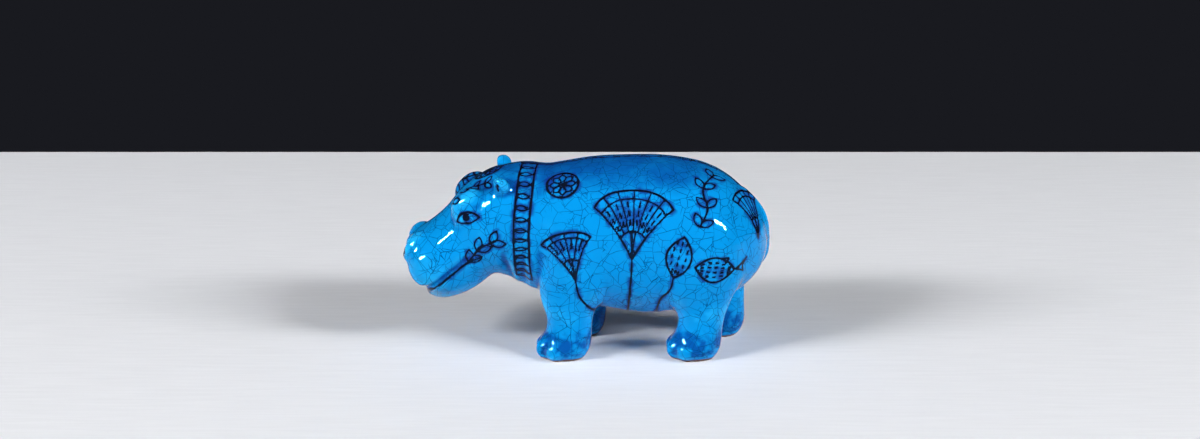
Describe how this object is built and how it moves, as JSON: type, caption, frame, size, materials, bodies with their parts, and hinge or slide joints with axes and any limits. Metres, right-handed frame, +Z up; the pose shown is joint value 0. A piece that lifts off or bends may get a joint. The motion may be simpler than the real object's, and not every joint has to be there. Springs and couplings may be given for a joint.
{
  "type": "hippopotamus figurine",
  "caption": "Standing hippopotamus figurine of blue crackle-glazed ceramic with marsh plants painted on it; a shelf ornament that rests on the flat soles of its stout legs.",
  "frame": {"origin": "on the ground, at the middle of the figure's bounding box", "axes": "+Z up; the animal looks along -X, so its left side faces -Y"},
  "size_m": [0.2, 0.0788, 0.1068],
  "materials": {
    "turquoise_glaze": "glossy crackle glaze over black underglaze drawing"
  },
  "bodies": {
    "root": {"hippopotamus": "turquoise_glaze"}
  },
  "joints": []
}
